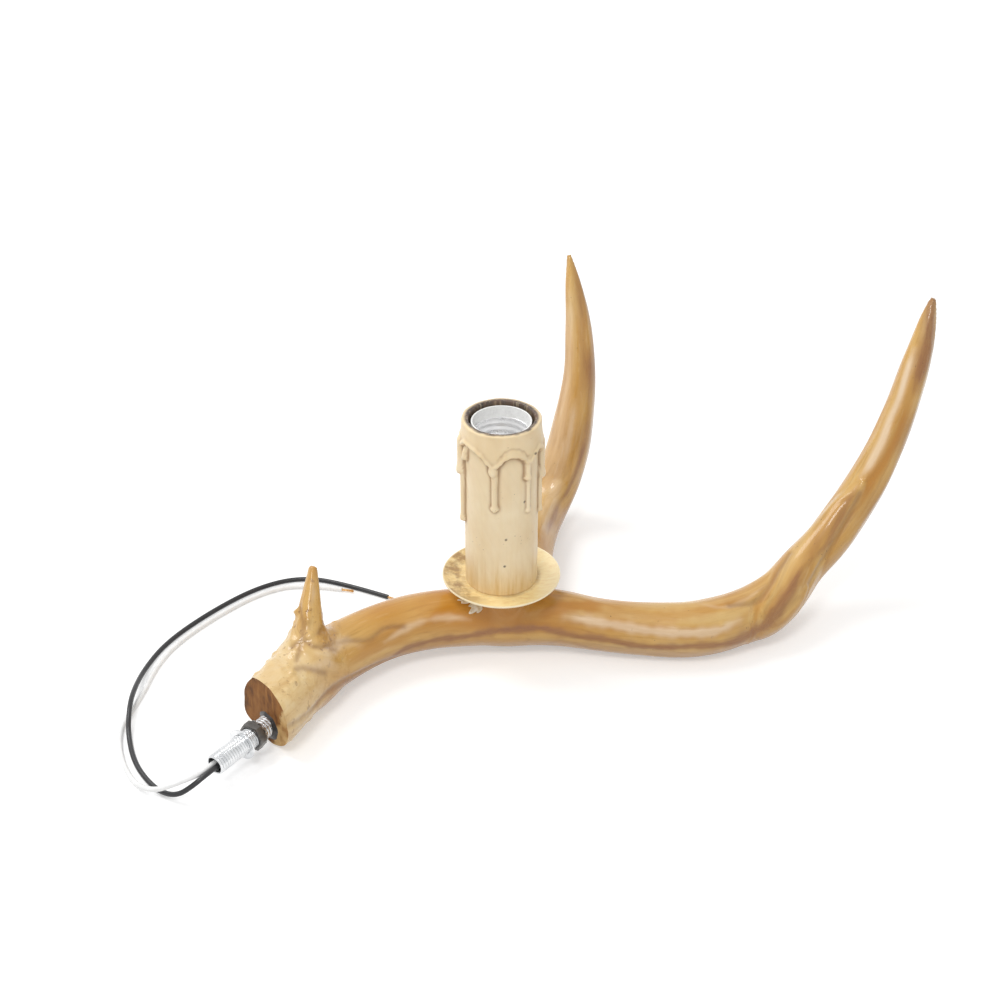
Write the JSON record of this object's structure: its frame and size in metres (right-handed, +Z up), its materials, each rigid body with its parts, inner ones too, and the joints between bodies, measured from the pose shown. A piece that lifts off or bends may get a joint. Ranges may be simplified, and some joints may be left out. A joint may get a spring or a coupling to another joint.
{
  "type": "antler chandelier arm",
  "caption": "Cast antler lamp arm: a forked resin antler with a drip tray, a candle sleeve over a screw lampholder, and a threaded hub end with wires.",
  "frame": {"origin": "middle of the arm's footprint on the bench, without its free wires", "axes": "+Z up along the candle, +X from the sawn hub end towards the long tine, +Y towards the back tine"},
  "size_m": [0.4004, 0.2666, 0.1557],
  "materials": {
    "antler_resin": "cast resin painted and varnished like shed antler",
    "zinc_steel": "zinc-plated steel",
    "grey_steel": "dull grey steel",
    "dark_epoxy": "dark glue",
    "antique_gold": "brushed antique gold",
    "white_glue": "set glue",
    "white_plastic": "plain white",
    "bright_shell": "bright plain metal",
    "contact_brass": "plain",
    "candle_resin": "cream with a brown wash",
    "black_insulation": "satin",
    "white_insulation": "satin",
    "copper": "bare copper"
  },
  "bodies": {
    "arm": {"antler_casting": "antler_resin", "hub_nipple": "zinc_steel", "hub_glue": "dark_epoxy", "drip_tray": "antique_gold", "tray_glue": "white_glue", "stem_nipple": "zinc_steel", "stem_washer": "zinc_steel", "stem_lock_nut": "zinc_steel", "socket_bracket": "zinc_steel", "bracket_screw": "zinc_steel", "socket_body": "white_plastic", "screw_shell": "bright_shell", "contact_spring": "grey_steel", "line_terminal": "contact_brass", "neutral_terminal": "contact_brass", "terminal_screws": "zinc_steel", "terminal_rivets": "contact_brass", "black_lead_inside": "black_insulation", "white_lead_inside": "white_insulation", "black_lead": "black_insulation", "white_lead": "white_insulation", "black_lead_strands": "copper", "white_lead_strands": "copper", "black_lead_terminal_strands": "copper", "white_lead_terminal_strands": "copper"},
    "sleeve": {"candle_sleeve": "candle_resin"},
    "lock_washer": {"hub_lock_washer": "grey_steel"},
    "hub_nut": {"hub_hex_nut": "grey_steel"},
    "flat_washer": {"hub_flat_washer": "zinc_steel"},
    "contact": {"centre_contact": "contact_brass"}
  },
  "joints": [
    {"name": "sleeve_lift", "type": "slide", "parent": "arm", "child": "sleeve", "axis": [0, 0, 1], "range_m": [0, 0.095]},
    {"name": "lock_washer_slide", "type": "slide", "parent": "arm", "child": "lock_washer", "axis": [-0.5878, -0.809, 0], "range_m": [-0.0046, 0.0046]},
    {"name": "nut_turn", "type": "hinge", "parent": "lock_washer", "child": "hub_nut", "pos_m": [-0.15709, -0.10365, 0.0111], "axis": [-0.5878, -0.809, 0], "range_deg": [-1080, 1080]},
    {"name": "flat_washer_slide", "type": "slide", "parent": "arm", "child": "flat_washer", "axis": [-0.5878, -0.809, 0], "range_m": [0, 0.016]},
    {"name": "contact_press", "type": "slide", "parent": "arm", "child": "contact", "axis": [0, 0, 1], "range_m": [-0.002, 0], "stiffness_N_per_m": 400, "springref_m": 0.001, "deforming": ["contact_spring"]}
  ],
  "couplings": [
    {"joint": "lock_washer_slide", "follows": "nut_turn", "m_per_rad": 0.00023873}
  ]
}
